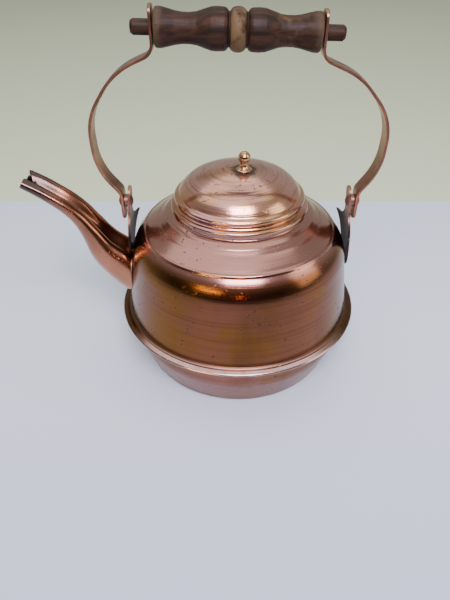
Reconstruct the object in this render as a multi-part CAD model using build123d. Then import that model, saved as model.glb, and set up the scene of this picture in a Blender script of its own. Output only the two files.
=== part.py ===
from build123d import *
import math
import os

# Copper kettle: spun body on a shallow pan, heart-section spout, loose lid, swinging bail.
#
# Frame: millimetres, +Z up, origin at the centre of the base, spout towards -X, front -Y.
# The bail swings about the X axis through both ears.
#

# ---- driving dimensions ----
SHEET = 0.9                 # copper sheet thickness
FLANGE_R = 88.0             # outer radius of the rolled seam
FLANGE_Z = 42.6             # height of the seam's middle layer
BASE_R = 71.0               # radius of the flat base
WALL_LOW = (81.8, 45.0)     # radius and height where the wall meets the seam
SHOULDER = (73.9, 101.0)    # corner that the shoulder rounds off
CONE_TOP = (48.6, 117.4)    # where the conical top meets the neck
NECK_R = 45.6               # outside of the neck
NECK_TOP = 121.0            # the lid rests here
RIDGE_R = 66.2              # small raised ring on the shoulder
RIDGE_Z = 105.7

LID_LIP_R = 46.6            # widest radius of the lid
LID_COLLAR_R = 44.1         # outside of the ring that drops into the neck
LID_COLLAR_DROP = 9.0
DOME_R = 78.0               # crown radius of the dome
DOME_TOP = 147.3
KNUCKLE_R = 22.0            # tighter radius at the dome's edge
CROWN_ANGLE = 22.3          # degrees from the top where the knuckle starts
KNUCKLE_END = 62.0          # degrees from the top where the bead starts
KNOB_AT = (2.6, -4.5)       # the hand-fitted knob stands a little off centre

PIVOT_Z = 123.0             # bail pivot height
STRAP_X = 79.0              # pivot-end distance of each strap's middle from the axis
STRAP_T = 1.8
STRAP_W = 12.5
SIDE_PLAY = 0.35            # gap each side of the strap at its pivot
PIVOT_HOLE_R = 2.2
PIVOT_R = 2.15              # rivet shank, free to turn in the strap
EAR_T = 1.5
RIVET_Z = 82.5              # the rivet that holds the leaf to the wall
RIVET_R = 1.6
EAR_FOOT = (80.2, 71.0)     # outer radius and height of the leaf's point
EAR_HEAD = (74.6, 133.5)    # outer radius and height of the ear's rounded top

GRIP_Z = 227.0              # height of the grip's axis at its middle
GRIP_TILT = 1.6             # degrees, spout end higher
GRIP_HALF = 46.6            # half the wood between the straps
GRIP_X = -2.4               # middle of the grip
TENON_R = 4.2
TENON_OUT = 13.5            # tenon length beyond the wood's end face
TENON_HOLE_R = 4.26


def spin(profile):
    """Turn a closed profile, drawn in the XZ plane, round the Z axis."""
    return revolve(profile, Axis.Z, 360)


def sheet(points, radii, side=Side.RIGHT, thickness=SHEET):
    """A sheet of even thickness behind a filleted outline of (radius, height) points."""
    corners = [(r, 0, z) for r, z in points]
    line = FilletPolyline(*corners, radius=radii)
    band = offset(Plane.XZ.to_local_coords(line), amount=thickness, side=side, closed=True)
    return Plane.XZ * make_face(band.edges())


def ring(r_in, r_out, z_low, z_high):
    """A plain tube between two radii and two heights."""
    return Pos(0, 0, z_low) * (Cylinder(r_out, z_high - z_low, align=(Align.CENTER, Align.CENTER, Align.MIN))
                               - Cylinder(r_in, z_high - z_low, align=(Align.CENTER, Align.CENTER, Align.MIN)))


def torus_ring(r, z, tube):
    """A round bead of the given tube radius."""
    return Pos(0, 0, z) * Torus(r, tube)


# ---- spout: centre of the lobes, half width, crest, valley and keel at each station ----
SPOUT = [
    # x, z, lean of the axis from -X in degrees, half width, crest, valley, keel, valley spread
    (-142.3, 138.8, 30, 11.0, 4.2, 0.2, 6.0, 0.34),
    (-125.3, 128.4, 35, 11.3, 4.5, -0.4, 7.2, 0.34),
    (-109.0, 113.6, 50, 12.0, 5.4, 1.0, 8.8, 0.34),
    (-102.6, 102.6, 57, 13.0, 7.2, 3.2, 10.0, 0.34),
    (-77.0, 67.0, 2, 17.5, 20.5, 13.0, 20.5, 0.40),
]


def heart(station, inset=0.0):
    """One closed heart section, square to the spout's axis, drawn inset by a wall thickness."""
    x, z, lean, half, crest, valley, keel, spread = station
    half, crest, keel = half - inset, crest - inset, keel - inset
    valley = valley - inset
    dent = crest - valley
    points = []
    count = 20
    for i in range(count):
        a = 2 * math.pi * i / count
        u = half * math.sin(a)
        if math.cos(a) >= 0:
            v = crest * math.cos(a) ** 0.8 - dent * math.exp(-(u / (spread * half)) ** 2)
        else:
            v = -keel * abs(math.cos(a)) ** 1.15
        points.append((u, v))
    tilt = math.radians(lean)
    axis = Vector(-math.cos(tilt), 0, math.sin(tilt))
    plane = Plane(origin=(x, 0, z), x_dir=(0, 1, 0), z_dir=axis)
    up = 1 if plane.y_dir.Z > 0 else -1
    return plane * make_face(Spline(*[(u, up * v) for u, v in points], periodic=True))


def spout_solid(inset=0.0):
    """The spout's outer form, or its bore when inset by the wall."""
    return loft([heart(s, inset) for s in SPOUT])


# ---- body ----
def wall_radius(z):
    """Outer radius of the tapered wall."""
    t = (z - WALL_LOW[1]) / (SHOULDER[1] - WALL_LOW[1])
    return WALL_LOW[0] + t * (SHOULDER[0] - WALL_LOW[0])


def body_shell():
    """Spun upper vessel: neck, cone, shoulder, tapered wall and the rim rolled round the pan."""
    top = FLANGE_Z + 1.5 * SHEET
    outline = [(NECK_R, NECK_TOP), (NECK_R, CONE_TOP[1] + 1.2), CONE_TOP, SHOULDER, WALL_LOW,
               (85.0, top), (FLANGE_R - 1.0, top)]
    skin = spin(sheet(outline, [1.2, 3.0, 29.0, 2.4, 1.5]))
    hem = spin(Plane.XZ * (Pos(FLANGE_R - 1.5 * SHEET, FLANGE_Z) * (Circle(1.5 * SHEET) - Circle(0.5 * SHEET))
                           & Pos(FLANGE_R, FLANGE_Z) * Rectangle(3.4, 4.0)))
    under = ring(FLANGE_R - 4.0, FLANGE_R - 1.4, FLANGE_Z - 1.5 * SHEET, FLANGE_Z - 0.5 * SHEET)
    ridge = torus_ring(RIDGE_R, RIDGE_Z, 0.75)
    shell = skin + hem + under + ridge - bore_cut()
    for side in (-1, 1):
        shell -= Pos(side * 78, 0, RIVET_Z) * Rot(0, 90, 0) * Cylinder(RIVET_R, 16)
    return shell.solids().sort_by(SortBy.VOLUME)[-1]


def bore_cut():
    """The oval hole behind the spout."""
    return Pos(-74, 0, 68) * Rot(0, 90, 0) * extrude(Ellipse(16.5, 13.5), 14, both=True)


def base_pan():
    """Pressed pan with a flat bottom; its rim is gripped by the body's rolled edge."""
    outline = [(0.0, 0.0), (BASE_R, 0.0), (80.6, 26.0), (81.4, FLANGE_Z - 0.45),
               (FLANGE_R - 1.9, FLANGE_Z - 0.45)]
    return spin(sheet(outline, [4.5, 22.0, 1.2], side=Side.LEFT))


def body_keep_out():
    """Everything inside the wall's outer surface, used to trim the spout at its root."""
    pieces = [(0, 0, 44), (WALL_LOW[0] - 0.05, 0, 44), (wall_radius(96) - 0.05, 0, 96), (0, 0, 96)]
    return spin(make_face(Polyline(*pieces, close=True)))


def mouth_notch():
    """Wedge that opens the valley at the mouth into a V."""
    wedge = make_face(Polyline((-152, -6.5, 0), (-134.8, 0, 0), (-152, 6.5, 0), close=True))
    return Pos(0, 0, 134.2) * extrude(wedge, 20)


def spout():
    """Hollow heart-section spout, trimmed to the wall and to the ear's leaf in its valley."""
    tube = spout_solid() - spout_solid(SHEET)
    for cutter in (body_keep_out(), mouth_notch(), ear(-1)):
        tube = (tube - cutter).solids().sort_by(SortBy.VOLUME)[-1]
    return tube


def spout_solder():
    """Fillet of solder round the spout's root."""
    outer = loft([heart(s, -1.3) for s in SPOUT])
    low, high = 46.2, 96.0
    edge = [(wall_radius(low) - 0.05, 0, low), (wall_radius(low) + 1.4, 0, low),
            (wall_radius(high) + 1.4, 0, high), (wall_radius(high) - 0.05, 0, high)]
    band = spin(make_face(Polyline(*edge, close=True)))
    bead = outer & band
    for cutter in (spout_solid(), ear(-1), ear_rivet(-1)):
        bead = (bead - cutter).solids().sort_by(SortBy.VOLUME)[-1]
    return bead


# ---- ears and pivots ----
def ear_radius(z):
    """Outer radius of the ear's sloping plate at a height."""
    t = (z - EAR_FOOT[1]) / (EAR_HEAD[1] - EAR_FOOT[1])
    return EAR_FOOT[0] + t * (EAR_HEAD[0] - EAR_FOOT[0])


def ear(side):
    """Spade-shaped lug, curved to the body: a point below, two wings and an upright tang."""
    tang, top, wing = 5.6, EAR_HEAD[1], 22.0
    leaf = make_face([
        Spline((0, 71.0), (6.8, 78.0), (10.8, 88.0), (wing, 106.0)),
        Spline((wing, 106.0), (13.5, 107.5), (7.6, 112.0), (tang, 119.0)),
        Line((tang, 119.0), (tang, top - tang)),
        ThreePointArc((tang, top - tang), (0, top), (-tang, top - tang)),
        Line((-tang, top - tang), (-tang, 119.0)),
        Spline((-tang, 119.0), (-7.6, 112.0), (-13.5, 107.5), (-wing, 106.0)),
        Spline((-wing, 106.0), (-10.8, 88.0), (-6.8, 78.0), (0, 71.0)),
    ])
    slab = extrude(Plane.YZ * leaf, 100 * side)
    low, high = 60.0, 140.0
    band = [(ear_radius(low) - EAR_T, 0, low), (ear_radius(low), 0, low),
            (ear_radius(high), 0, high), (ear_radius(high) - EAR_T, 0, high)]
    plate = slab & spin(make_face(Polyline(*band, close=True)))
    hole = Pos(side * 78, 0, PIVOT_Z) * Rot(0, 90, 0) * Cylinder(PIVOT_R, 30)
    foot_hole = Pos(side * 80, 0, RIVET_Z) * Rot(0, 90, 0) * Cylinder(RIVET_R, 12)
    return (plate - hole - foot_hole).solids().sort_by(SortBy.VOLUME)[-1]


def dome_head(radius, height):
    """A low domed rivet head, flat side down at the origin."""
    ball = (radius ** 2 + height ** 2) / (2 * height)
    cap = Pos(0, 0, height - ball) * Sphere(ball)
    return cap & Pos(0, 0, height / 2) * Box(4 * radius, 4 * radius, height)


def along_x(side, x, z):
    """Place a piece drawn along +Z so that it points outwards along X."""
    return Pos(side * x, 0, z) * Rot(0, 90 * side, 0)


def ear_rivet(side):
    """Rivet through the leaf and the wall, domed both sides."""
    out = ear_radius(RIVET_Z)
    head = along_x(side, out - 0.15, RIVET_Z) * dome_head(3.6, 1.7)
    shank = along_x(side, out - 6.0, RIVET_Z) * Cylinder(RIVET_R, 6.2, align=(Align.CENTER, Align.CENTER, Align.MIN))
    tail = along_x(-side, -(out - 6.0), RIVET_Z) * dome_head(3.2, 1.3)
    return head + shank + tail


def pivot_rivet(side):
    """Rivet fixed in the ear; the strap turns on its shank under the outer head."""
    inner = ear_radius(PIVOT_Z) - EAR_T - 0.45
    outer = STRAP_X + STRAP_T / 2 + SIDE_PLAY
    shank = along_x(side, inner, PIVOT_Z) * Cylinder(PIVOT_R, outer - inner + 0.3, align=(Align.CENTER, Align.CENTER, Align.MIN))
    head = along_x(side, outer, PIVOT_Z) * dome_head(4.0, 1.8)
    tail = along_x(-side, -(inner + 0.05), PIVOT_Z) * dome_head(3.8, 1.4)
    return head + shank + tail


def ear_washer(side):
    """Thin washer between ear and strap; it turns with neither load nor play."""
    inner = ear_radius(PIVOT_Z) + 0.05
    outer = STRAP_X - STRAP_T / 2 - SIDE_PLAY
    disc = along_x(side, inner, PIVOT_Z) * Cylinder(4.3, outer - inner, align=(Align.CENTER, Align.CENTER, Align.MIN))
    return disc - along_x(side, inner - 1, PIVOT_Z) * Cylinder(PIVOT_R, 8, align=(Align.CENTER, Align.CENTER, Align.MIN))


# ---- bail ----
def strap(side):
    """Flat strip bent to a hip and back to the grip, drawn in XZ and given its width along Y."""
    top_x = GRIP_HALF + 0.6 + STRAP_T / 2 + side * GRIP_X
    top_z = GRIP_Z - side * math.sin(math.radians(GRIP_TILT)) * GRIP_HALF
    hip = 92.6 if side < 0 else 90.6
    path = FilletPolyline(
        (side * STRAP_X, 0, PIVOT_Z - 12.0),
        (side * STRAP_X, 0, PIVOT_Z + 7.5),
        (side * hip, 0, PIVOT_Z + 24.5),
        (side * (hip + 0.8), 0, PIVOT_Z + 56.0),
        (side * (top_x + 24.0), 0, top_z - 22.5),
        (side * top_x, 0, top_z - 12.5),
        (side * top_x, 0, top_z + 11.5),
        radius=[6.0, 38.0, 38.0, 48.0, 8.0],
    )
    line = Plane.XZ.to_local_coords(path)
    left = offset(line, amount=STRAP_T / 2, side=Side.BOTH, closed=True, kind=Kind.INTERSECTION)
    strip = extrude(Plane.XZ * make_face(left.edges()), STRAP_W / 2, both=True)
    corner = 3.5
    ends = [e for e in strip.edges().filter_by(Axis.X, tolerance=25)
            if abs(e.length - STRAP_T) < 0.2 and abs(abs(e.center().Y) - STRAP_W / 2) < 0.1]
    strip = fillet(ends, corner) if len(ends) == 4 else strip
    pivot = Pos(side * STRAP_X, 0, PIVOT_Z) * Rot(0, 90, 0) * Cylinder(PIVOT_HOLE_R, 12)
    tenon = grip_frame() * Rot(0, 90, 0) * Cylinder(TENON_HOLE_R, 140)
    half_space = Pos(side * 100, 0, 180) * Box(199, 60, 200)
    return (strip - pivot - (tenon & half_space)).solids().sort_by(SortBy.VOLUME)[-1]


def grip_frame():
    """The grip's own frame: its axis is X, tilted so that the spout end is higher."""
    return Pos(GRIP_X, 0, GRIP_Z) * Rot(0, GRIP_TILT, 0)


def grip():
    """Turned wooden grip: two vase-shaped halves, a centre bead and a tenon at each end."""
    half = GRIP_HALF - 0.35
    vase = [(half, 10.3), (half - 3.0, 10.4), (34.0, 8.2), (25.5, 8.0), (14.5, 11.0), (8.3, 10.9), (6.6, 9.6)]
    right = vase[::-1]
    left = [(-x, r) for x, r in vase]
    upper = [
        Line((-half - TENON_OUT, 0), (-half - TENON_OUT, TENON_R - 1.0)),
        Line((-half - TENON_OUT, TENON_R - 1.0), (-half - TENON_OUT + 1.4, TENON_R)),
        Line((-half - TENON_OUT + 1.4, TENON_R), (-half, TENON_R)),
        Line((-half, TENON_R), (-half, 9.6)),
        Line((-half, 9.6), (-half + 0.7, 10.3)),
        Spline((-half + 0.7, 10.3), *left[1:]),
        Spline(left[-1], (-5.2, 9.3), (-4.2, 10.7), (0, 11.5), (4.2, 10.7), (5.2, 9.3), right[0]),
        Spline(*right[:-1], (half - 0.7, 10.3)),
        Line((half - 0.7, 10.3), (half, 9.6)),
        Line((half, 9.6), (half, TENON_R)),
        Line((half, TENON_R), (half + TENON_OUT - 1.4, TENON_R)),
        Line((half + TENON_OUT - 1.4, TENON_R), (half + TENON_OUT, TENON_R - 1.0)),
        Line((half + TENON_OUT, TENON_R - 1.0), (half + TENON_OUT, 0)),
        Line((half + TENON_OUT, 0), (-half - TENON_OUT, 0)),
    ]
    return grip_frame() * revolve(Plane.XZ * make_face(upper), Axis.X, 360)


# ---- lid ----
def dome_arcs(inset):
    """Crown arc, then a tighter knuckle down to the bead, both moved inwards by a thickness.

    Both arcs share their centres with the outer skin, so the sheet keeps an even thickness.
    """
    crown_centre = DOME_TOP - DOME_R
    slope, end = math.radians(CROWN_ANGLE), math.radians(KNUCKLE_END)
    centre = ((DOME_R - KNUCKLE_R) * math.sin(slope), crown_centre + (DOME_R - KNUCKLE_R) * math.cos(slope))

    def crown(angle):
        return (DOME_R - inset) * math.sin(angle), crown_centre + (DOME_R - inset) * math.cos(angle)

    def knuckle(angle):
        radius = KNUCKLE_R - inset
        return centre[0] + radius * math.sin(angle), centre[1] + radius * math.cos(angle)

    last = knuckle(end)
    return [ThreePointArc(crown(0), crown(slope / 2), crown(slope)),
            ThreePointArc(crown(slope), knuckle((slope + end) / 2), last)], last


def lid_dome():
    """Spun lid: domed crown, a raised bead and a flat-edged lip that rests on the neck."""
    outer, shoulder = dome_arcs(0)
    inner, inside = dome_arcs(SHEET)
    bead = [shoulder, (41.9, 130.0), (43.6, 128.3), (43.3, 125.9), (43.0, 124.6), (44.6, 123.6),
            (46.4, 122.6), (LID_LIP_R, 121.8)]
    lip = [(LID_LIP_R, 121.8), (LID_LIP_R, NECK_TOP), (LID_COLLAR_R, NECK_TOP),
           (LID_COLLAR_R, NECK_TOP + SHEET), (42.1, 123.2), (42.1, 127.4), inside]
    axis = Line((0, DOME_TOP - SHEET), (0, DOME_TOP))
    profile = make_face([*outer, Spline(*bead), Polyline(*lip), *inner, axis])
    return (spin(Plane.XZ * profile) - knob_hole()).solids().sort_by(SortBy.VOLUME)[-1]


def knob_hole():
    """Hole through the crown for the knob's stem."""
    return Pos(KNOB_AT[0], KNOB_AT[1], DOME_TOP) * Cylinder(1.5, 12)


def lid_collar():
    """Plain ring soldered inside the lid; it drops into the neck and centres the lid."""
    return ring(LID_COLLAR_R - SHEET, LID_COLLAR_R, NECK_TOP - LID_COLLAR_DROP, NECK_TOP + 0.9)


def knob_base_z():
    """Height of the dome where the knob stands."""
    off = math.hypot(*KNOB_AT)
    return DOME_TOP - DOME_R + math.sqrt(DOME_R ** 2 - off ** 2)


def lid_knob():
    """Turned brass knob: flared foot, waist and ball, with a stem through the crown."""
    z = knob_base_z()
    outline = make_face([
        Line((0, -3.2), (1.5, -3.2)),
        Line((1.5, -3.2), (1.5, -0.3)),
        Line((1.5, -0.3), (5.2, -0.3)),
        Line((5.2, -0.3), (5.2, 0.5)),
        Spline((5.2, 0.5), (3.6, 1.3), (2.5, 3.2), (2.4, 5.0)),
        ThreePointArc((2.4, 5.0), (4.0, 8.2), (0, 12.2)),
        Line((0, 12.2), (0, -3.2)),
    ])
    return Pos(KNOB_AT[0], KNOB_AT[1], z) * revolve(Plane.XZ * outline, Axis.Z, 360)


def knob_washer():
    """Washer on the stem under the crown."""
    z = knob_base_z() - SHEET - 0.9
    washer = Pos(KNOB_AT[0], KNOB_AT[1], z) * Cylinder(4.0, 0.8)
    return washer - Pos(KNOB_AT[0], KNOB_AT[1], z) * Cylinder(1.5, 4)


NODES = {
    "body_shell": body_shell,
    "base_pan": base_pan,
    "spout": spout,
    "spout_solder": spout_solder,
    "ear_left": lambda: ear(-1),
    "ear_right": lambda: ear(1),
    "ear_rivet_left": lambda: ear_rivet(-1),
    "ear_rivet_right": lambda: ear_rivet(1),
    "pivot_rivet_left": lambda: pivot_rivet(-1),
    "pivot_rivet_right": lambda: pivot_rivet(1),
    "pivot_washer_left": lambda: ear_washer(-1),
    "pivot_washer_right": lambda: ear_washer(1),
    "bail_strap_left": lambda: strap(-1),
    "bail_strap_right": lambda: strap(1),
    "grip": grip,
    "lid_dome": lid_dome,
    "lid_collar": lid_collar,
    "lid_knob": lid_knob,
    "knob_washer": knob_washer,
}

os.makedirs("parts", exist_ok=True)
for name, make in NODES.items():
    piece = make()
    piece.label = name
    export_step(piece, f"parts/{name}.step")
    print(name, len(piece.solids()), round(piece.volume, 1))
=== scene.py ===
# %% [markdown]
# # A copper kettle, from bare sheet to lived-in metal
#
# The kettle is spun copper: a body and a shallow pan rolled together at a seam, a loose domed lid,
# a soldered spout, and a bail with a turned wooden grip. The exact sizes and the moving joints come
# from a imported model, which is loaded first as a fixed frame. Everything below adds finer surfaces
# and finishes in that same frame, in metres, with Z up and the spout towards -X.

# %% Load the frame
import math
from collections import namedtuple

import bpy
import bmesh
import numpy as np
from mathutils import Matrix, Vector


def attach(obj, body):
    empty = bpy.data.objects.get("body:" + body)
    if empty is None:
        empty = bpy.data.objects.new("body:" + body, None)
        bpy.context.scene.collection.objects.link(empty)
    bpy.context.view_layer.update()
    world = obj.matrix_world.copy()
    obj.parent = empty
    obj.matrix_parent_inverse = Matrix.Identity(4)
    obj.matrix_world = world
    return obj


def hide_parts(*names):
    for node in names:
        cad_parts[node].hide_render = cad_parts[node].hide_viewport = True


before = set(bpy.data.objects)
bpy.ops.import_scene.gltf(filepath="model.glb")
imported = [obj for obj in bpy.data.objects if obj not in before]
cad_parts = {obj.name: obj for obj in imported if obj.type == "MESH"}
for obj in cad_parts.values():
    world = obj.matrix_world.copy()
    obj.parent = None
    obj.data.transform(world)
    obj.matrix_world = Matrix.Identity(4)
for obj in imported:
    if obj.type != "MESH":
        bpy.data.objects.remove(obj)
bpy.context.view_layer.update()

# %% [markdown]
# ## Camera
#
# A camera is a place, a direction and a lens. This one is close, about a forearm's length from the
# middle of the kettle, and looks down at it. A 30 mm lens on a 36 mm sensor is a mild wide angle.
# Close and wide together give the lid and the seam their round ellipses; a longer lens from further
# away would flatten them.

# %% Set the camera
CAMERA_PLACE = (-0.0097, -0.3104, 0.2810)
VIEW_DIP = 38.26                      # degrees that the view falls below level
LENS, SENSOR = 30.0, 36.0

eye = bpy.data.cameras.new("eye")
eye.lens, eye.sensor_width = LENS, SENSOR
camera = bpy.data.objects.new("eye", eye)
camera.location = CAMERA_PLACE
camera.rotation_euler = (math.radians(90 - VIEW_DIP), 0, 0)
bpy.context.scene.collection.objects.link(camera)
bpy.context.scene.camera = camera
view_angle = 2 * math.degrees(math.atan(SENSOR / 2 / LENS))
print("camera", CAMERA_PLACE[2], "m up, sees", round(view_angle), "degrees")

# %% [markdown]
# ## Shader maths as plain expressions
#
# A material is a graph of nodes, and a graph is hard to read in code. A small wrapper round a
# socket lets `1 - mask * 0.5` build the Math nodes by itself, so a finish reads like a recipe.
# Colours are never added this way, because a Math node would turn them grey. They are blended.


# %% The socket wrapper and the graph
class Wire:
    """One output socket. Arithmetic on it adds Math nodes to the same graph."""

    def __init__(self, graph, socket):
        self.graph, self.socket = graph, socket

    def _math(self, operation, first, second):
        return self.graph.node("ShaderNodeMath", {"operation": operation}, {0: first, 1: second})

    def __add__(self, other): return self._math("ADD", self, other)
    def __radd__(self, other): return self._math("ADD", other, self)
    def __sub__(self, other): return self._math("SUBTRACT", self, other)
    def __rsub__(self, other): return self._math("SUBTRACT", other, self)
    def __mul__(self, other): return self._math("MULTIPLY", self, other)
    def __rmul__(self, other): return self._math("MULTIPLY", other, self)
    def __pow__(self, other): return self._math("POWER", self, other)


class Graph:
    """A node tree, with one method that adds any node and a few that name common ones."""

    def __init__(self, tree):
        self.tree = tree

    def feed(self, node, sockets):
        """Give each named or numbered input a value or a link."""
        for key, value in sockets.items():
            if isinstance(value, Wire):
                self.tree.links.new(value.socket, node.inputs[key])
            else:
                node.inputs[key].default_value = value

    def node(self, kind, settings=None, sockets=None, out=0):
        """Add a node: its settings first, then the values or links of its sockets."""
        node = self.tree.nodes.new(kind)
        for key, value in (settings or {}).items():
            if key == "stops":
                ramp = node.color_ramp.elements
                while len(ramp) < len(value):
                    ramp.new(1.0)
                for element, (position, colour) in zip(ramp, value):
                    element.position, element.color = position, (*colour, 1.0)
            else:
                setattr(node, key, value)
        self.feed(node, sockets or {})
        return Wire(self, node.outputs[out])

    def parts(self, vector):
        """The three numbers of a vector."""
        split = self.tree.nodes.new("ShaderNodeSeparateXYZ")
        self.feed(split, {0: vector})
        return [Wire(self, output) for output in split.outputs]

    def mix(self, amount, first, second):
        """Blend two colours: amount 0 gives the first, 1 the second."""
        first, second = (c if isinstance(c, Wire) else (*c, 1.0) for c in (first, second))
        return self.node("ShaderNodeMix", {"data_type": "RGBA"}, {0: amount, 6: first, 7: second}, out=2)


# %% [markdown]
# A finish is such a graph with a Principled shader at its end. Patterns are placed by object
# coordinates, which are metres in the kettle's own frame, so a stain can be put at a known height.
# Noise lies around one half: a soft step from 0.40 to 0.66 covers about half of the surface, and one
# from 0.67 to 0.73 leaves only sparse specks.

# %% The finish
Spot = namedtuple("Spot", "point x y z")


class Finish(Graph):
    """A material. Constants and links feed its shader by name, where Base_Color means Base Color."""

    def __init__(self, name, **constants):
        self.material = bpy.data.materials.new(name)
        self.material.use_nodes = True
        super().__init__(self.material.node_tree)
        self.shader = self.tree.nodes["Principled BSDF"]
        self.surface(**constants)

    def surface(self, **sockets):
        self.feed(self.shader, {key.replace("_", " "): value for key, value in sockets.items()})

    def place(self):
        """Object coordinates, as a vector and as three separate numbers, in metres."""
        point = self.node("ShaderNodeTexCoord", out=3)
        return Spot(point, *self.parts(point))

    def vector(self, x, y, z):
        return self.node("ShaderNodeCombineXYZ", None, {0: x, 1: y, 2: z})

    def noise(self, point, scale, detail=3.0, roughness=0.5):
        return self.node("ShaderNodeTexNoise", None, {"Vector": point, "Scale": scale, "Detail": detail,
                                                      "Roughness": roughness})

    def step(self, value, off, on):
        """A soft step: 0 at the value off, 1 at the value on, whichever of them is the larger."""
        falling = off > on
        low, high = (on, off) if falling else (off, on)
        return self.node("ShaderNodeMapRange", {"interpolation_type": "SMOOTHSTEP"},
                         {"Value": value, "From Min": low, "From Max": high,
                          "To Min": 1.0 if falling else 0.0, "To Max": 0.0 if falling else 1.0})

    def bump(self, height, strength, distance):
        return self.node("ShaderNodeBump", None, {"Strength": strength, "Distance": distance,
                                                  "Height": height})


def from_axis(at, centre=(0.0, 0.0)):
    """Distance from an upright axis: the square root of (x - cx)^2 + (y - cy)^2."""
    dx, dy = at.x - centre[0], at.y - centre[1]
    return (dx * dx + dy * dy) ** 0.5


# %% [markdown]
# ## Spun copper
#
# Copper sheet is spun against a turning form, and the tool leaves rings finer than a hair's width.
# They run round the axis, so the pattern is made in turned coordinates: distance from the axis and
# height change fast, and the angle hardly at all. Over that come slow clouds of pink and gold from
# years of polish, and small dark pits. Metal has almost no colour of its own apart from what it
# reflects, so most of the look is in the roughness. A real anisotropic shader could draw the rings
# too, but only colour, roughness and bump travel well to other programs.

# %% Spun copper finish
WALL_PINK, WALL_GOLD = (0.190, 0.074, 0.038), (0.190, 0.082, 0.018)
PAN_PINK, PAN_GOLD = (0.260, 0.115, 0.082), (0.230, 0.105, 0.052)
LID_PINK, LID_GOLD = (0.700, 0.375, 0.345), (0.610, 0.325, 0.180)
BROWN_COPPER, PIT_AND_SHADE_BROWN = (0.090, 0.036, 0.018), (0.085, 0.045, 0.032)
FINE_RINGS, COARSE_RINGS = 1100.0, 430.0          # per metre
FINE_DRIFT, COARSE_DRIFT = 1.2, 0.5               # how fast a ring changes along its own length
CLOUDS, PATCHES, SPECKS = 26.0, 70.0, 400.0       # per metre
PALE_FADE = 0.007
RING_DEPTH = 0.00035


def spun_rings(finish, at, per_metre, drift):
    """Noise of (radius, height, angle) that is stretched round the axis, so it reads as spun rings."""
    angle = finish.node("ShaderNodeMath", {"operation": "ARCTAN2"}, {0: at.y, 1: at.x})
    turned_place = finish.vector(from_axis(at) * per_metre, at.z * per_metre, angle * drift)
    return finish.noise(turned_place, 1.0, 2.0)


def spun_copper(name, pink, gold, wear, rough, rings, story, pale_above=None):
    """Satin copper: clouds of pink, gold and brown, spun rings and sparse pits, then its own story."""
    finish = Finish(name, Metallic=1.0)
    at = finish.place()
    fine = spun_rings(finish, at, FINE_RINGS, FINE_DRIFT)
    coarse = spun_rings(finish, at, COARSE_RINGS, COARSE_DRIFT)
    clouds = finish.noise(at.point, CLOUDS, 4.0, 0.55)
    smears = finish.noise(finish.vector(at.x * 40.0, at.y * 40.0, at.z * 9.0), 1.0)
    specks = finish.noise(at.point, SPECKS, 1.0)
    patches = finish.noise(at.point, PATCHES, 3.0, 0.6)

    colour = finish.mix(finish.step(clouds, 0.40, 0.66), pink, gold)
    colour = finish.mix(finish.step(smears, 0.50, 0.78) * (0.55 * wear + 0.15), colour, BROWN_COPPER)
    colour = finish.mix(finish.step(coarse, 0.52, 0.70) * 0.35, colour, BROWN_COPPER)
    colour = finish.mix(finish.step(fine, 0.52, 0.66) * 0.22, colour, BROWN_COPPER)
    if pale_above:
        pale = finish.step(at.z, pale_above, pale_above + PALE_FADE)
        colour = finish.mix(pale * 0.5, colour, LID_PINK)
    pits = finish.step(specks, 0.670, 0.730) * finish.step(patches, 0.44, 0.58)
    colour = finish.mix(pits * 0.8, colour, PIT_AND_SHADE_BROWN)
    roughness = rough + 0.12 * clouds + 0.08 * fine + 0.25 * pits
    colour, roughness = story(finish, colour, roughness, at)
    height = fine * 0.55 + coarse * 0.9 - pits * 1.5
    finish.surface(Base_Color=colour, Roughness=roughness, Normal=finish.bump(height, rings, RING_DEPTH))
    print(name, len(finish.tree.nodes), "nodes")
    return finish.material


# %% [markdown]
# Each spun piece has its own story on top of that finish. The body is tinned inside and carries
# painted shade in the corner above the seam; a painted highlight lies on the front of the rim, with
# painted shade at its sides and under it. The lid carries a ring of green-black tarnish round the
# knob's foot, where the cloth never reaches. The pan is dulled by the stove. Each story is a mask
# made of soft steps in height and distance. The pairs below are in metres: where the mask is off,
# and where it is fully on.

# %% Body finish
CORNER_Z, CORNER_R = (0.0480, 0.0455), (0.0840, 0.0826)
RIM_Z, RIM_R, RIM_FRONT_Y = (0.0462, 0.0450), (0.0824, 0.0838), (-0.020, -0.062)
UNDER_RIM_Z = (0.0422, 0.0412)
CONE_FOOT_Z = 0.099
RIM_HIGHLIGHT_LILAC, UNDER_RIM_SHADE = (0.640, 0.430, 0.420), (0.16, 0.13, 0.085)


def body_story(finish, colour, roughness, at):
    """Painted shade above the seam, at the rim's sides and under it; a painted highlight on its front.
    """
    radius = from_axis(at)
    cloud = finish.noise(at.point, 90.0)
    # Painted shade: the corner above the seam is darkened towards brown.
    corner = finish.step(at.z, *CORNER_Z) * finish.step(radius, *CORNER_R)
    colour = finish.mix(corner * (0.35 + 0.5 * cloud), colour, PIT_AND_SHADE_BROWN)
    rim = finish.step(radius, *RIM_R) * finish.step(at.z, *RIM_Z)
    front = finish.step(at.y + cloud * 0.030, *RIM_FRONT_Y)
    # Painted shade: the rim is browned at its sides, away from the front.
    colour = finish.mix(rim * (0.55 - 0.55 * front), colour, PIT_AND_SHADE_BROWN)
    # Painted highlight: the front of the rim is made pale lilac.
    colour = finish.mix(rim * front * (0.35 + 0.85 * cloud), colour, RIM_HIGHLIGHT_LILAC)
    # Painted shade: the underside of the rim is darkened.
    under = finish.step(at.z, *UNDER_RIM_Z)
    colour = finish.mix(under * 0.55, colour, UNDER_RIM_SHADE)
    return colour, roughness + corner * 0.2 + under * 0.15


body_copper = spun_copper("copper_body", WALL_PINK, WALL_GOLD, wear=0.6, rough=0.11, rings=0.18,
                          story=body_story, pale_above=CONE_FOOT_Z)

# %% Pan finish
PAN_FOOT_Z = (0.0155, 0.0060)
STOVE_STAIN = (0.20, 0.13, 0.08)


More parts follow.
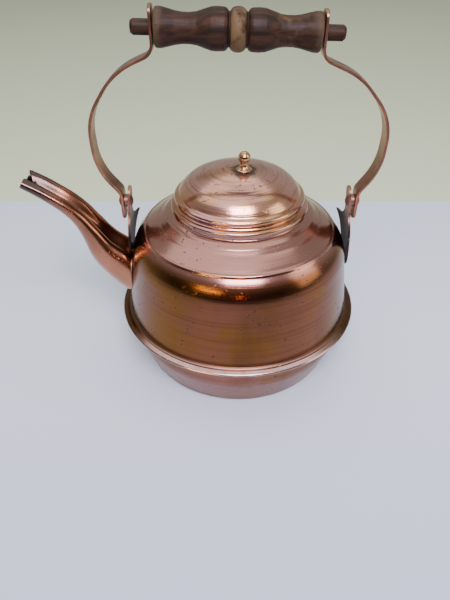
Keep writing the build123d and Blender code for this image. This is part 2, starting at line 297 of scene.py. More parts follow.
def pan_story(finish, colour, roughness, at):
    """Greenish-brown heat stain towards the bottom edge."""
    cloud = finish.noise(at.point, 60.0, 4.0)
    low = finish.step(at.z + cloud * 0.010, *PAN_FOOT_Z)
    colour = finish.mix(low * 0.55, colour, STOVE_STAIN)
    return colour, roughness + 0.12 * low


pan_copper = spun_copper("copper_pan", PAN_PINK, PAN_GOLD, wear=0.8, rough=0.17, rings=0.16,
                         story=pan_story)

# %% Lid finish
KNOB_CENTRE = (0.0026, -0.0045)
TARNISH_REACH, TARNISH_Z, CREASE_REACH = (0.0165, 0.0110), (0.135, 0.140), (0.030, 0.010)
TARNISH = (0.035, 0.040, 0.028)


def lid_story(finish, colour, roughness, at):
    """A ragged ring of tarnish round the knob's foot."""
    reach = from_axis(at, KNOB_CENTRE)
    ragged = finish.noise(at.point, 420.0, 4.0, 0.65)
    ring = finish.step(reach + ragged * 0.0090, *TARNISH_REACH) * finish.step(at.z, *TARNISH_Z)
    colour = finish.mix(ring * 0.9, colour, TARNISH)
    creases = finish.step(ragged, 0.62, 0.80) * finish.step(reach, *CREASE_REACH)
    colour = finish.mix(creases * 0.35, colour, BROWN_COPPER)
    return colour, roughness + 0.35 * ring


lid_copper = spun_copper("copper_lid", LID_PINK, LID_GOLD, wear=0.5, rough=0.10, rings=0.30,
                         story=lid_story)

# %% [markdown]
# ## Straps, spout, solder, tin and brass
#
# The inside is wiped with tin, a grey skin with slow streaks. The straps and ears are darker: thick
# copper that is handled but never polished, so brown oxide sits in its hollows. The knob is the one
# piece of brass, kept bright by fingers. They differ only in colour, roughness and grain, so one
# recipe makes all of them, and two of them add a dark end.

# %% Flat metal recipe
DENT_DEPTH = 0.0004


def worn_metal(name, bright, dull, rough, grain, dark, shine=0.16, dents=0.25, shade=None):
    """Unspun metal: bright where rubbed, dull in irregular patches, with fine scratches.

    grain is how fine the pattern is, dark how much of the dull tone the patches take, shine how
    much rougher they are, and dents how deep they look. shade may darken one end.
    """
    finish = Finish(name, Metallic=1.0)
    at = finish.place()
    patches = finish.noise(at.point, grain * 0.35, 5.0, 0.62)
    grit = finish.noise(at.point, grain * 3.0, 2.0)
    scratches = finish.noise(finish.vector(at.x * 3000.0, at.y * 260.0, at.z * 260.0), 1.0, 2.0)
    colour = finish.mix(finish.step(patches, 0.36, 0.66) * dark, bright, dull)
    flecks = finish.step(grit, 0.66, 0.74) * 0.6
    colour = finish.mix(flecks, colour, PIT_AND_SHADE_BROWN)
    if shade:
        colour = shade(finish, colour, at)
    height = patches * 1.2 + grit * 0.5 + scratches * 0.3
    finish.surface(Base_Color=colour, Roughness=rough + shine * patches + 0.10 * flecks,
                   Normal=finish.bump(height, dents, DENT_DEPTH))
    print(name, len(finish.tree.nodes), "nodes")
    return finish.material


# %% Dark ends
SMOKE_X, GLOW_X, LEAF_Z = (-0.104, -0.124), (-0.104, -0.086), (0.118, 0.108)
SMOKE, GLOW, LEAF_BLACK = (0.060, 0.048, 0.044), (0.72, 0.30, 0.16), (0.022, 0.013, 0.010)


def smoky_tip(finish, colour, at):
    """The spout's mouth is grey-black with oxide; the colour clears down the neck and warms."""
    cloud = finish.noise(at.point, 110.0, 4.0)
    colour = finish.mix(finish.step(at.x + cloud * 0.020, *SMOKE_X) * 0.92, colour, SMOKE)
    return finish.mix(finish.step(at.x + cloud * 0.010, *GLOW_X) * 0.25, colour, GLOW)


def leaf_shade(finish, colour, at):
    """The ear's leaf is nearly black below its upright tang."""
    cloud = finish.noise(at.point, 140.0, 4.0)
    return finish.mix(finish.step(at.z + cloud * 0.006, *LEAF_Z) * 0.88, colour, LEAF_BLACK)


# %% Flat metals, each as a bright and a dull tone
STRAP_TONES = (0.33, 0.160, 0.105), (0.120, 0.060, 0.042)
SPOUT_TONES = (0.38, 0.165, 0.100), (0.20, 0.085, 0.050)
RIVET_TONES = (0.34, 0.19, 0.14), (0.09, 0.055, 0.042)
BRASS_TONES = (0.74, 0.42, 0.24), (0.46, 0.24, 0.12)
SOLDER_TONES = (0.40, 0.21, 0.145), (0.22, 0.12, 0.085)
TIN_TONES = (0.56, 0.55, 0.52), (0.30, 0.28, 0.25)

strap_copper = worn_metal("copper_strap", *STRAP_TONES, rough=0.26, grain=160.0, dark=0.75)
ear_copper = worn_metal("copper_ear", *STRAP_TONES, rough=0.28, grain=160.0, dark=0.85, shine=0.2,
                        shade=leaf_shade)
spout_copper = worn_metal("copper_spout", *SPOUT_TONES, rough=0.13, grain=110.0, dark=0.55, shine=0.14,
                          dents=0.09, shade=smoky_tip)
rivet_copper = worn_metal("copper_rivet", *RIVET_TONES, rough=0.34, grain=400.0, dark=0.8)
brass = worn_metal("knob_brass", *BRASS_TONES, rough=0.12, grain=300.0, dark=0.45, shine=0.10)
solder = worn_metal("root_solder", *SOLDER_TONES, rough=0.34, grain=300.0, dark=0.8)
tinned = worn_metal("tin_lining", *TIN_TONES, rough=0.34, grain=90.0, dark=0.5)

# %% [markdown]
# ## Varnished turned wood
#
# The grip is a dark red-brown hardwood under old varnish. Growth layers cross the turned shape as
# long streaks along the grip, so the noise is stretched along X. Noise in space, unlike a wrapped
# image, has no join round the grip. The varnish is a clear coat. On the middle bead and at the ends
# hands have worn it through to grey-olive wood.

# %% Wood finish
WOOD_DARK, WOOD_RED = (0.009, 0.0045, 0.0022), (0.040, 0.0165, 0.0068)
WOOD_WORN, WOOD_GREY = (0.130, 0.085, 0.040), (0.070, 0.048, 0.028)
CRACK_BLACK, GROOVE_BLACK = (0.010, 0.006, 0.004), (0.012, 0.006, 0.004)
GRIP_MIDDLE_X = -0.0024
# Places along the grip, as distances from its middle.
BEAD_EDGE, GROOVE_IN, GROOVE_OUT = (0.0052, 0.0038), (0.0040, 0.0045), (0.0062, 0.0056)
BULGE_IN, BULGE_OUT = (0.0180, 0.0260), (0.0400, 0.0330)
END_IN, END_OUT = (0.0455, 0.0500), (0.0470, 0.0464)
GRAIN_DEPTH = 0.0004


def varnished_wood(name):
    """Streaked hardwood with varnish worn through at the bead and near the ends."""
    finish = Finish(name, Coat_Roughness=0.46, Coat_IOR=1.5, Specular_IOR_Level=0.15)
    at = finish.place()
    along = at.x - GRIP_MIDDLE_X
    reach = (along * along) ** 0.5
    streaks = finish.noise(finish.vector(at.x * 28.0, at.y * 420.0, at.z * 420.0), 1.0, 4.0, 0.6)
    fibres = finish.noise(finish.vector(at.x * 120.0, at.y * 2600.0, at.z * 2600.0), 1.0, 2.0)
    blotches = finish.noise(at.point, 85.0, 4.0, 0.6)

    bead = finish.step(reach, *BEAD_EDGE) * finish.step(blotches, 0.36, 0.56)
    ends = finish.step(reach + blotches * 0.010, *END_IN) * finish.step(reach, *END_OUT)
    bulge = finish.step(along, *BULGE_IN) * finish.step(along, *BULGE_OUT)
    bulge = bulge * finish.step(blotches, 0.50, 0.66)
    cracks = finish.step(fibres, 0.63, 0.72) * finish.step(blotches, 0.45, 0.65)
    grooves = finish.step(reach, *GROOVE_IN) * finish.step(reach, *GROOVE_OUT)

    colour = finish.mix(finish.step(streaks, 0.34, 0.68), WOOD_DARK, WOOD_RED)
    for mask, tone in ((bead * 0.85, WOOD_WORN), (bulge * 0.45, WOOD_WORN), (ends * 0.70, WOOD_GREY),
                       (cracks * 0.75, CRACK_BLACK), (grooves * 0.7, GROOVE_BLACK)):
        colour = finish.mix(mask, colour, tone)
    worn = bead * 0.6 + ends * 0.7
    height = streaks * 0.8 + fibres * 0.3 - cracks * 1.6
    finish.surface(Base_Color=colour, Roughness=0.42 + 0.22 * blotches + 0.15 * worn,
                   Coat_Weight=0.10 - 0.08 * worn, Normal=finish.bump(height, 0.28, GRAIN_DEPTH))
    print(name, len(finish.tree.nodes), "nodes")
    return finish.material


wood = varnished_wood("grip_wood")

# %% [markdown]
# ## Surfaces from profiles
#
# A spun piece is a profile turned round an axis. A Screw modifier could turn it, but here the whole
# surface is one array product, which keeps every size in sight. The profile is a sharp outline whose
# corners are rounded, then thickened inwards. The two parameters are the place along the profile
# and the angle. Profiles are written in millimetres, as on a drawing, and scaled when skinned.

# %% Profiles
MM = 0.001
SHEET = 0.9


def rounded(corners, radii, steps=14):
    """Outline with each inner corner replaced by an arc that touches both of its sides."""
    corners = np.asarray(corners, float)
    line = [corners[:1]]
    for before, corner, after, radius in zip(corners[:-2], corners[1:-1], corners[2:], radii):
        a, b = before - corner, after - corner
        a, b = a / np.hypot(*a), b / np.hypot(*b)
        half = 0.5 * math.acos(np.clip(a @ b, -1, 1))
        middle = (a + b) / np.hypot(*(a + b))
        centre = corner + middle * radius / math.sin(half)
        start, end = (corner + side * radius / math.tan(half) - centre for side in (a, b))
        sweep = np.linspace(0, 1, steps)[:, None]
        turn = math.pi - 2 * half
        arc_points = (np.sin((1 - sweep) * turn) * start + np.sin(sweep * turn) * end) / math.sin(turn)
        line.append(centre + arc_points)
    line.append(corners[-1:])
    return np.vstack(line)


def resample(line, step):
    """The same line with points about one step apart, so shading stays even."""
    gaps = np.hypot(*np.diff(line, axis=0).T)
    counts = np.maximum(1, np.ceil(gaps / step).astype(int))
    parts = [np.linspace(a, b, n, endpoint=False) for a, b, n in zip(line[:-1], line[1:], counts)]
    return np.vstack([*parts, line[-1:]])


def left_of(line):
    """Unit vectors that point to the left of a line's direction: (-dy, dx)."""
    along = np.gradient(line, axis=0)
    along /= np.hypot(*along.T)[:, None]
    return np.column_stack([-along[:, 1], along[:, 0]])


def walled(line, thickness):
    """Closed loop: the line, and the line moved sideways to its left by the thickness."""
    inner = line + thickness * left_of(line)
    inner[:, 0] = np.maximum(inner[:, 0], 0.0)
    return np.vstack([line, inner[::-1]])


# %% Turning
def full_turn(count):
    """Equal angles round a circle, the last one a step short of the first."""
    return np.linspace(0, 2 * np.pi, count, endpoint=False)


def turned(loop, turns, centre=(0.0, 0.0, 0.0)):
    """Points (angle, profile, 3): x = r cos a, y = r sin a, z from the profile, about a centre."""
    angle = full_turn(turns)[:, None]
    r, z = loop[None, :, 0], loop[None, :, 1]
    points = np.broadcast_arrays(r * np.cos(angle), r * np.sin(angle), z)
    return np.stack(points, -1) + np.asarray(centre)


# %% [markdown]
# Every new piece is skinned in the same way: a grid of points becomes quads between neighbours, and
# points that fall together, as on an axis, are merged. Each piece then rides on the body that moves
# it, and the exact pieces that it stands for are hidden.

# %% Skin a grid
MERGE, SLIVER = 1e-6, 1e-7


def mesh_piece(name, grid, body, stands_for, finish,
               close_rows=True, close_columns=True, sharp=40):
    """Skin a grid of points (rows, columns, 3) in millimetres. Rows that stay open get end caps."""
    rows, columns = grid.shape[:2]
    index = np.arange(rows * columns).reshape(rows, columns)
    wrapped = np.vstack([index, index[:1]]) if close_rows else index
    wrapped = np.hstack([wrapped, wrapped[:, :1]]) if close_columns else wrapped
    corners = [wrapped[:-1, :-1], wrapped[1:, :-1], wrapped[1:, 1:], wrapped[:-1, 1:]]
    faces = np.stack(corners, -1).reshape(-1, 4).tolist()
    if not close_rows:
        faces += [index[0, ::-1].tolist(), index[-1].tolist()]
    mesh = bpy.data.meshes.new(name)
    mesh.from_pydata((grid.reshape(-1, 3) * MM).tolist(), [], faces)
    work = bmesh.new()
    work.from_mesh(mesh)
    bmesh.ops.remove_doubles(work, verts=work.verts, dist=MERGE)
    bmesh.ops.dissolve_degenerate(work, edges=work.edges, dist=SLIVER)
    bmesh.ops.recalc_face_normals(work, faces=work.faces)
    work.to_mesh(mesh)
    work.free()
    mesh.polygons.foreach_set("use_smooth", np.ones(len(mesh.polygons), bool))
    mesh.set_sharp_from_angle(angle=math.radians(sharp))
    piece = bpy.data.objects.new(name, mesh)
    bpy.context.scene.collection.objects.link(piece)
    mesh.materials.append(finish)
    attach(piece, body)
    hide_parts(*stands_for)
    print(name, len(mesh.polygons), "faces")
    return piece


# %% [markdown]
# ## Body and pan
#
# The body runs from the neck down a shallow cone, over a raised ring, round the shoulder, down a
# wall that widens slightly, and out into the seam. The pan hangs below it. Their outlines repeat the
# real sizes in millimetres as (radius, height). The ring is a smooth bump on the line itself rather
# than on the material, so that it also shows at the kettle's outline.

# %% Make the body
WALL_TOP, WALL_FOOT = (73.9, 101.0), (81.8, 45.0)
BODY_OUTLINE = [(45.6, 121.0), (45.6, 118.6), (48.6, 117.4), WALL_TOP, WALL_FOOT, (83.3, 43.95),
                (84.6, 43.95), (87.1, 43.05), (87.95, 42.0), (86.9, 41.25), (84.0, 41.25)]
BODY_ROUNDING = [1.0, 3.0, 29.0, 1.4, 1.0, 1.6, 1.0, 0.5, 0.5]
# Rings as (radius, height, inward rise, width); a negative rise stands proud.
CONE_RINGS = [(66.2, 105.9, -0.75, 0.9), (50.8, 116.0, -0.28, 1.0), (55.0, 113.3, 0.2, 1.2)]
BODY_STEP, BODY_TURNS = 0.9, 200


def ringed(line, rings):
    """Move a line sideways by smooth bumps: rise * exp(-(distance / width)^2) for each ring."""
    lift = np.zeros(len(line))
    for r, z, rise, width in rings:
        lift += rise * np.exp(-(np.hypot(line[:, 0] - r, line[:, 1] - z) / width) ** 2)
    return line - left_of(line) * lift[:, None]


body_line = ringed(resample(rounded(BODY_OUTLINE, BODY_ROUNDING), BODY_STEP), CONE_RINGS)
body = mesh_piece("kettle_body", turned(walled(body_line, -SHEET), BODY_TURNS), "kettle",
                  ["body_shell"], body_copper)

# %% Make the pan
PAN_OUTLINE = [(0.0, 0.0), (71.0, 0.0), (80.6, 26.0), (81.4, 42.1), (86.0, 42.1)]
PAN_ROUNDING = [4.5, 22.0, 1.2]
PAN_STEP, PAN_TURNS = 1.1, 200

pan_line = resample(rounded(PAN_OUTLINE, PAN_ROUNDING), PAN_STEP)
pan = mesh_piece("kettle_pan", turned(walled(pan_line, SHEET), PAN_TURNS), "kettle",
                 ["base_pan"], pan_copper)

# %% [markdown]
# ## Lid and knob
#
# The lid is a flattened dome with a tighter curve at its edge, two raised rings and a lip. The crown
# and the edge are two arcs that share a tangent. The brass knob is turned on its own axis and sits a
# little off the middle, as hand-fitted knobs do.

# %% Make the lid
DOME_TOP, DOME_R, KNUCKLE_R, LID_SHEET = 147.3, 78.0, 22.0, 0.8
CROWN_ANGLE, KNUCKLE_END = math.radians(22.3), math.radians(62.0)
LID_RINGS = [(41.5, 130.75), (42.6, 130.2), (43.7, 129.2), (44.1, 128.1), (43.8, 127.0), (43.0, 126.0),
             (42.9, 125.0), (43.5, 124.3), (45.0, 123.9), (46.2, 123.1), (46.55, 122.1), (46.5, 121.3),
             (46.0, 121.05)]
LID_STEP, LID_TURNS = 0.7, 180


def arc(centre, radius, start, end, count):
    """Points of an arc measured from straight up: centre + radius * (sin a, cos a)."""
    a = np.linspace(start, end, count)
    return np.column_stack([centre[0] + radius * np.sin(a), centre[1] + radius * np.cos(a)])


crown_centre = (0.0, DOME_TOP - DOME_R)
knuckle_centre = ((DOME_R - KNUCKLE_R) * math.sin(CROWN_ANGLE),
                  crown_centre[1] + (DOME_R - KNUCKLE_R) * math.cos(CROWN_ANGLE))
dome_line = np.vstack([arc(crown_centre, DOME_R, 0, CROWN_ANGLE, 40),
                       arc(knuckle_centre, KNUCKLE_R, CROWN_ANGLE, KNUCKLE_END, 20)[1:],
                       LID_RINGS])
dome_loop = walled(resample(dome_line, LID_STEP), -LID_SHEET)
lid = mesh_piece("lid_skin", turned(dome_loop, LID_TURNS), "lid", ["lid_dome"], lid_copper)

# %% Make the knob
KNOB_PROFILE = [(0.0, -0.25), (5.2, -0.25), (5.2, 0.35), (4.4, 0.95), (3.3, 1.7), (2.7, 2.8), (2.5, 3.9),
                (2.45, 4.9), (3.0, 5.3), (2.9, 5.6), (3.5, 6.4), (3.95, 7.4), (4.02, 8.4), (3.75, 9.6),
                (3.1, 10.8), (2.0, 11.7), (0.9, 12.1), (0.0, 12.2)]
KNOB_ROUNDING, KNOB_TURNS = 0.2, 64

knob_x, knob_y = KNOB_CENTRE[0] / MM, KNOB_CENTRE[1] / MM
knob_foot = DOME_TOP - DOME_R + math.sqrt(DOME_R ** 2 - knob_x ** 2 - knob_y ** 2)
knob_line = rounded(KNOB_PROFILE, [KNOB_ROUNDING] * (len(KNOB_PROFILE) - 2), 4)
mesh_piece("knob_ball", turned(knob_line, KNOB_TURNS, (knob_x, knob_y, knob_foot)), "lid",
           ["lid_knob"], brass, sharp=50)

# %% [markdown]
# ## Spout
#
# The spout is a bent tube whose section is a heart: two rounded lobes above with a valley between
# them, and a keel below. It was folded from flat sheet, and the valley keeps the pour in one stream.
# A curve with a bevel would give only one section, so the surface is a function of the place along
# the spout and the angle round it, and each station may have its own section. At the root each
# line along the spout is followed only until it meets the wall.

# %% The spout's sections
SPOUT_STATIONS = np.array([
    # x, z, lean, half width, crest, valley, keel, spread of the valley
    (-142.3, 138.8, 30, 11.0, 4.4, -1.0, 5.6, 0.34),
    (-133.8, 134.1, 31, 11.2, 4.5, -2.0, 6.4, 0.34),
    (-125.3, 128.4, 35, 11.3, 4.7, -2.2, 7.0, 0.34),
    (-116.8, 122.0, 40, 11.5, 4.9, -1.8, 7.8, 0.34),
    (-109.0, 113.6, 50, 12.0, 5.6, -1.2, 8.6, 0.36),
    (-102.6, 102.6, 57, 13.0, 7.6, 0.6, 10.0, 0.40),
    (-94.5, 86.5, 45, 15.0, 13.0, 4.0, 14.5, 0.46),
    (-77.0, 67.0, 2, 17.5, 20.5, 9.0, 20.5, 0.50),
])
SPOUT_ROWS, SPOUT_AROUND = 110, 96
LOBE_POWER, KEEL_POWER = 0.8, 1.15

spout_angle = full_turn(SPOUT_AROUND)[None, :]


def smooth_stations(stations, count):
    """Cubic (Catmull-Rom) curve through the stations: each value keeps its neighbours' slope."""
    t = np.linspace(0, len(stations) - 1, count)
    i = np.clip(t.astype(int), 0, len(stations) - 2)
    f = (t - i)[:, None]
    slope = np.gradient(stations, axis=0)
    a, b, da, db = stations[i], stations[i + 1], slope[i], slope[i + 1]
    return (a * (2 * f ** 3 - 3 * f ** 2 + 1) + da * (f ** 3 - 2 * f ** 2 + f)
            + b * (3 * f ** 2 - 2 * f ** 3) + db * (f ** 3 - f ** 2))


def heart_tube(rows, inset):
    """Heart sections: u = half sin a; v = crest cos^0.8 a less a Gaussian valley, or a keel below."""
    x, z, lean, half, crest, valley, keel, spread = (rows[:, i:i + 1] for i in range(8))
    half, crest, valley, keel = half - inset, crest - inset, valley - inset, keel - inset
    rise = np.abs(np.cos(spout_angle))
    u = half * np.sin(spout_angle)
    lobes = crest * rise ** LOBE_POWER - (crest - valley) * np.exp(-(u / (spread * half)) ** 2)
    v = np.where(np.cos(spout_angle) >= 0, lobes, -keel * rise ** KEEL_POWER)
    tilt = np.radians(lean)
    return np.stack([x + v * np.sin(tilt), u, z + v * np.cos(tilt)], -1)


stations = smooth_stations(SPOUT_STATIONS, SPOUT_ROWS)
print("spout", len(stations), "sections of", SPOUT_AROUND, "points")

# %% Trim and notch the spout
WALL_OVERLAP = 0.35
NOTCH_DEPTH, NOTCH_HALF, NOTCH_FADE = 6.5, 6.0, 9.0      # two in millimetres, the last in rows
MOUTH_LEAN = math.radians(SPOUT_STATIONS[0, 2])


def until_wall(tube):
    """Shorten each line along the tube so that it ends just inside the body's wall, which is a cone."""
    radius = np.hypot(tube[..., 0], tube[..., 1])
    taper = (WALL_FOOT[0] - WALL_TOP[0]) / (WALL_TOP[1] - WALL_FOOT[1])
    inside = radius < WALL_FOOT[0] - (tube[..., 2] - WALL_FOOT[1]) * taper - WALL_OVERLAP
    last = np.where(inside.any(0), inside.argmax(0), len(tube) - 1)
    place = np.linspace(0, 1, len(tube))[:, None] * last[None, :]
    low = np.clip(place.astype(int), 0, len(tube) - 2)
    part = (place - low)[..., None]
    column = np.arange(tube.shape[1])[None, :]
    return tube[low, column] * (1 - part) + tube[low + 1, column] * part


def notched(tube):
    """Pull the mouth's valley back along the spout, so that the two lobes end in a V."""
    reach = np.clip(1 - np.abs(tube[:1, :, 1]) / NOTCH_HALF, 0, 1)
    fade = np.exp(-(np.arange(len(tube)) / NOTCH_FADE) ** 2)[:, None]
    pull = NOTCH_DEPTH * reach * fade * (np.cos(spout_angle) > 0)
    tube = tube.copy()
    tube[..., 0] += pull * math.cos(MOUTH_LEAN)
    tube[..., 2] -= pull * math.sin(MOUTH_LEAN)
    return tube


outer, inner = (notched(until_wall(heart_tube(stations, inset))) for inset in (0.0, SHEET))
mesh_piece("spout_skin", np.vstack([outer, inner[::-1]]), "kettle", ["spout"], spout_copper,
           sharp=55)

# %% [markdown]
# The spout is soft-soldered to the wall. The solder is a thin bead that follows the curve where the
# two meet, so its path is simply the spout's last row of points.

# %% Make the solder bead
BEAD, BEAD_AROUND = 0.75, 10

root = outer[-1]
forward = np.roll(root, -1, axis=0) - np.roll(root, 1, axis=0)
forward /= np.linalg.norm(forward, axis=1)[:, None]
away = root * [1, 1, 0]
away /= np.linalg.norm(away, axis=1)[:, None]
sideways = np.cross(forward, away)
bead_angle = full_turn(BEAD_AROUND)[None, :, None]
bead_round = np.cos(bead_angle) * away[:, None] + np.sin(bead_angle) * sideways[:, None]
bead_grid = root[:, None] + BEAD * bead_round
mesh_piece("solder_bead", bead_grid, "kettle", ["spout_solder"], solder)

# %% [markdown]
# ## Bail
#
# Each strap is one strip of copper, hammered to shape, wide across and thin. It bows out from the
# pivot to a hip and comes back under the grip. A rounded section is carried along the path, and the
# strip narrows at its two ends to give them round corners. The tenons poke through holes that the
# strip hides, so the strip itself needs none.

# %% The straps' path
PIVOT_Z, STRAP_X, STRAP_T, STRAP_W = 123.0, 79.0, 1.8, 12.5
GRIP_Z, GRIP_TILT, GRIP_HALF, GRIP_X, GRIP_GAP = 227.0, math.radians(1.6), 46.6, -2.4, 0.6
HIP_X = {-1: 92.6, 1: 90.6}
FOOT_DROP, UPRIGHT, HIP_LOW, HIP_HIGH, HIP_LEAN = 12.0, 7.5, 24.5, 56.0, 0.8      # from the pivot
NECK_OUT, NECK_DROP, NECK_TOP, TIP_RISE = 24.0, 22.5, 12.5, 11.5                  # from the grip's axis
STRAP_BENDS = [6.0, 38.0, 38.0, 48.0, 8.0]


def strap_path(side):
    """Middle line of a strap in the XZ plane, from its lower end past the pivot to its tip."""
    top_x = GRIP_HALF + GRIP_GAP + STRAP_T / 2 + side * GRIP_X
    top_z = GRIP_Z - side * math.sin(GRIP_TILT) * GRIP_HALF
    corners = [(STRAP_X, PIVOT_Z - FOOT_DROP), (STRAP_X, PIVOT_Z + UPRIGHT),
               (HIP_X[side], PIVOT_Z + HIP_LOW), (HIP_X[side] + HIP_LEAN, PIVOT_Z + HIP_HIGH),
               (top_x + NECK_OUT, top_z - NECK_DROP), (top_x, top_z - NECK_TOP),
               (top_x, top_z + TIP_RISE)]
    return resample(rounded(corners, STRAP_BENDS), 1.0) * np.array([side, 1.0])


# %% Make the straps
STRAP_CORNER, STRAP_EDGE = 4.0, 0.35
# The section, point by point round it: how far across, which face, and which points its edges trim.
ACROSS = np.array([-1, -1, -1, -.5, 0, .5, 1, 1, 1, 1, 1, .5, 0, -.5, -1, -1])[None, :]
FACE = np.array([-1, 1, 1, 1, 1, 1, 1, 1, -1, -1, -1, -1, -1, -1, -1, -1])[None, :]
TRIM_ACROSS = np.array([0, 0, 1, 0, 0, 0, 1, 0, 0, 0, 1, 0, 0, 0, 1, 0])[None, :] * STRAP_EDGE
TRIM_FACE = np.array([1, 1, 0, 0, 0, 0, 0, 1, 1, 1, 0, 0, 0, 0, 0, 1])[None, :] * STRAP_EDGE


def strip(line, width, thickness):
    """A flat strip along a line. Within a corner's radius c of either end, at a distance d from it,
    each side comes in by c - sqrt(c^2 - (c - d)^2), which rounds the corners."""
    length = np.concatenate([[0], np.cumsum(np.hypot(*np.diff(line, axis=0).T))])
    from_corner = np.maximum(0, STRAP_CORNER - np.minimum(length, length[-1] - length))
    inset = STRAP_CORNER - np.sqrt(np.maximum(0, STRAP_CORNER ** 2 - from_corner ** 2))
    half_width = (width / 2 - inset)[:, None]
    y = ACROSS * (half_width - TRIM_ACROSS * (ACROSS != 0))
    offset = FACE * (thickness / 2 - TRIM_FACE)
    centre = line[:, None, :] + left_of(line)[:, None, :] * offset[..., None]
    return np.stack([centre[..., 0], y, centre[..., 1]], -1)


for side, end in ((-1, "left"), (1, "right")):
    mesh_piece(f"strap_{end}", strip(strap_path(side), STRAP_W, STRAP_T), "bail",
               [f"bail_strap_{end}"], strap_copper, close_rows=False, sharp=35)

# %% [markdown]
# ## Grip
#
# The grip is turned between centres: two vase shapes, a bead between two grooves in the middle, and
# a tenon at each end that turns in the straps. It is a profile turned about X, then tilted because
# the straps are not quite equal.

# %% Make the grip
# Half of the profile as (distance from the middle, radius); the other half mirrors it.
GRIP_PROFILE = [(0.0, 11.5), (1.8, 11.3), (3.4, 10.6), (4.3, 9.6), (4.9, 8.8), (5.5, 9.2), (6.3, 10.4),
                (7.8, 11.0), (12.0, 11.15), (15.0, 10.9), (19.0, 9.7), (23.0, 8.4), (27.0, 7.9),
                (31.0, 7.95), (35.0, 8.5), (39.0, 9.5), (42.5, 10.3), (44.8, 10.4), (45.9, 10.1),
                (46.25, 9.4), (46.25, 4.2), (58.3, 4.2), (59.75, 3.2), (59.75, 0.0)]
GRIP_ROUNDING, GRIP_STEP, GRIP_TURNS = 0.35, 0.8, 96

half_line = np.array(GRIP_PROFILE)
whole = np.vstack([half_line[:0:-1] * [-1, 1], half_line])
grip_line = resample(rounded(whole, [GRIP_ROUNDING] * (len(whole) - 2), 5), GRIP_STEP)
grip_angle = full_turn(GRIP_TURNS)[:, None]
along, reach = grip_line[None, :, 0], grip_line[None, :, 1]
turned_y, turned_z = reach * np.cos(grip_angle), reach * np.sin(grip_angle)
grip_grid = np.stack([
    GRIP_X + along * math.cos(GRIP_TILT) + turned_z * math.sin(GRIP_TILT),
    turned_y,
    GRIP_Z - along * math.sin(GRIP_TILT) + turned_z * math.cos(GRIP_TILT)], -1)
mesh_piece("grip_wood", grip_grid, "grip", ["grip"], wood, close_columns=False, sharp=50)

# %% [markdown]
# ## Finishes for the exact pieces
#
# The ears, rivets, washers and the lid's collar already have their right shape, so they only need a
# finish. Their meshes are not touched.

# %% Dress the carried-over pieces
NODE_FINISH = {
    "ear_left": ear_copper, "ear_right": ear_copper, "lid_collar": tinned,
    "knob_washer": brass, "ear_rivet_left": rivet_copper, "ear_rivet_right": rivet_copper,
    "pivot_rivet_left": rivet_copper, "pivot_rivet_right": rivet_copper,
    "pivot_washer_left": rivet_copper, "pivot_washer_right": rivet_copper,
}
for node, finish in NODE_FINISH.items():
    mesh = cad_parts[node].data
    mesh.materials.clear()
    mesh.materials.append(finish)
print(len(NODE_FINISH), "exact pieces have a finish")

# %% [markdown]
# The kettle is tinned inside, since bare copper taints food. The lining is not a shape: it is
# a second material on the faces that look inwards. A face looks inwards when its normal points
# back towards the axis.

# %% Wipe the inside with tin
BODY_TIN_ABOVE, PAN_FLOOR_BELOW, LID_TIN_WITHIN = 0.0445, 0.030, 0.0425
LEVEL, UNDERSIDE = 0.5, -0.15                     # upward part of a face's normal


def to_axis(centres, normals):
    """True where a face looks at the upright axis: x nx + y ny is negative."""
    return centres[:, 0] * normals[:, 0] + centres[:, 1] * normals[:, 1] < 0


def line_inside(piece, is_inside):
    """Give the tin lining to the faces whose centres and normals pass the test."""
    polygons = piece.data.polygons
    piece.data.materials.append(tinned)
    centres, normals = np.empty((len(polygons), 3)), np.empty((len(polygons), 3))
    polygons.foreach_get("center", centres.ravel())
    polygons.foreach_get("normal", normals.ravel())
    inside = is_inside(centres, normals)
    polygons.foreach_set("material_index", inside.astype(np.int32))
    print(piece.name, int(inside.sum()), "tinned faces")


line_inside(body, lambda c, n: to_axis(c, n) & (c[:, 2] > BODY_TIN_ABOVE))
line_inside(pan, lambda c, n: to_axis(c, n) | ((n[:, 2] > LEVEL) & (c[:, 2] < PAN_FLOOR_BELOW)))
line_inside(lid, lambda c, n: (n[:, 2] < UNDERSIDE) & (np.hypot(c[:, 0], c[:, 1]) < LID_TIN_WITHIN))

# %% [markdown]
# ## Room
#
# Polished metal shows the room, so the room is half of the finish. The floor is a pale table, a
# shade greener beyond its far edge. The sky is bright above and dark towards the horizon: that dark
# belt is what draws the brown band under the shoulder and along the seam. A broad window in front
# and above lays a cool highlight on the lid, and two small warm lights put gold on the shoulder.

# %% Lay the table
TABLE, FAR_TABLE, NEAR_TABLE = (0.62, 0.72, 0.85), (0.64, 0.72, 0.50), (0.40, 0.48, 0.62)
DARK_FLOOR, CLOUD_GREY = (0.10, 0.085, 0.075), (0.5, 0.52, 0.56)
FAR_EDGE_Y, NEAR_FALL_Y, END_Y = (0.239, 0.241), (0.02, -0.26), (-0.66, -0.82)
TABLE_HALF = 3.0


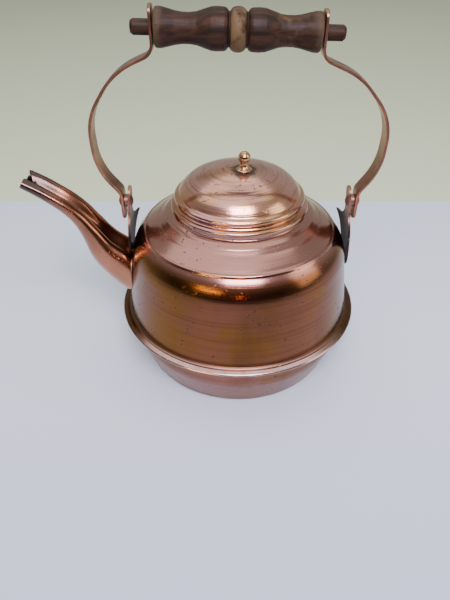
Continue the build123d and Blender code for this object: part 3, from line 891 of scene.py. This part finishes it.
def plain_floor():
    """A wide pale table that darkens a little towards the viewer, as painted shade."""
    finish = Finish("table_top")
    at = finish.place()
    cloud = finish.noise(at.point, 6.0, 2.0)
    colour = finish.mix(finish.step(at.y, *FAR_EDGE_Y), TABLE, FAR_TABLE)
    # Painted shade: the table darkens towards the viewer.
    colour = finish.mix(finish.step(at.y, *NEAR_FALL_Y) * 0.85, colour, NEAR_TABLE)
    colour = finish.mix(finish.step(at.y, *END_Y), colour, DARK_FLOOR)
    finish.surface(Base_Color=finish.mix(0.12 * cloud, colour, CLOUD_GREY), Roughness=0.42 + 0.1 * cloud)
    mesh = bpy.data.meshes.new("table_top")
    corners = [(x * TABLE_HALF, y * TABLE_HALF, 0) for x, y in ((-1, -1), (1, -1), (1, 1), (-1, 1))]
    mesh.from_pydata(corners, [], [(0, 1, 2, 3)])
    mesh.materials.append(finish.material)
    floor = bpy.data.objects.new("table_top", mesh)
    bpy.context.scene.collection.objects.link(floor)
    print("table", 2 * TABLE_HALF, "m wide")


plain_floor()

# %% Set the sky
SKY_STOPS = [(0.0, (0.050, 0.040, 0.034)), (0.30, (0.055, 0.042, 0.034)), (0.46, (0.34, 0.31, 0.29)),
             (0.75, (0.48, 0.47, 0.47)), (1.0, (0.55, 0.55, 0.56))]
BEHIND, BEHIND_GREEN = (-0.35, 0.25), (0.46, 0.47, 0.43)


def room_sky():
    """World colour by direction: a ramp over height, blended to one flat tone behind the kettle."""
    world = bpy.data.worlds.new("room")
    bpy.context.scene.world = world
    world.use_nodes = True
    sky = Graph(world.node_tree)
    y, z = sky.parts(sky.node("ShaderNodeTexCoord"))[1:]
    by_height = sky.node("ShaderNodeValToRGB", {"stops": SKY_STOPS}, {0: z})
    behind = sky.node("ShaderNodeMapRange", None,
                      {"Value": y, "From Min": BEHIND[0], "From Max": BEHIND[1]})
    colour = sky.mix(behind, by_height, BEHIND_GREEN)
    sky.feed(sky.tree.nodes["Background"], {"Color": colour, "Strength": 1.0})
    print("sky", len(sky.tree.nodes), "nodes")


room_sky()

# %% Hang the lights
KETTLE_MIDDLE = (0, 0, 0.09)


def soft_window(name, place, width, height, power, colour):
    """A rectangular light at a place, turned to face the middle of the kettle."""
    lamp = bpy.data.lights.new(name, "AREA")
    lamp.shape, lamp.size, lamp.size_y = "RECTANGLE", width, height
    lamp.energy, lamp.color = power, colour
    light = bpy.data.objects.new(name, lamp)
    light.location = place
    light.rotation_euler = (Vector(KETTLE_MIDDLE) - Vector(place)).to_track_quat("-Z", "Y").to_euler()
    bpy.context.scene.collection.objects.link(light)
    print(name, power, "W")


soft_window("window", (0.05, -0.62, 0.85), 0.54, 0.36, 15.0, (0.96, 0.84, 1.0))
soft_window("ceiling", (-0.2, 0.25, 1.60), 2.4, 2.0, 17.5, (1.0, 0.99, 0.97))
soft_window("side_glow", (1.0, -0.30, 0.50), 0.5, 0.7, 3.5, (1.0, 0.90, 0.78))
soft_window("warm_shelf", (-0.50, -0.85, 0.44), 0.40, 0.06, 1.8, (1.0, 0.66, 0.10))
soft_window("ember", (0.02, -0.95, 0.26), 0.07, 0.015, 0.16, (1.0, 0.30, 0.06))
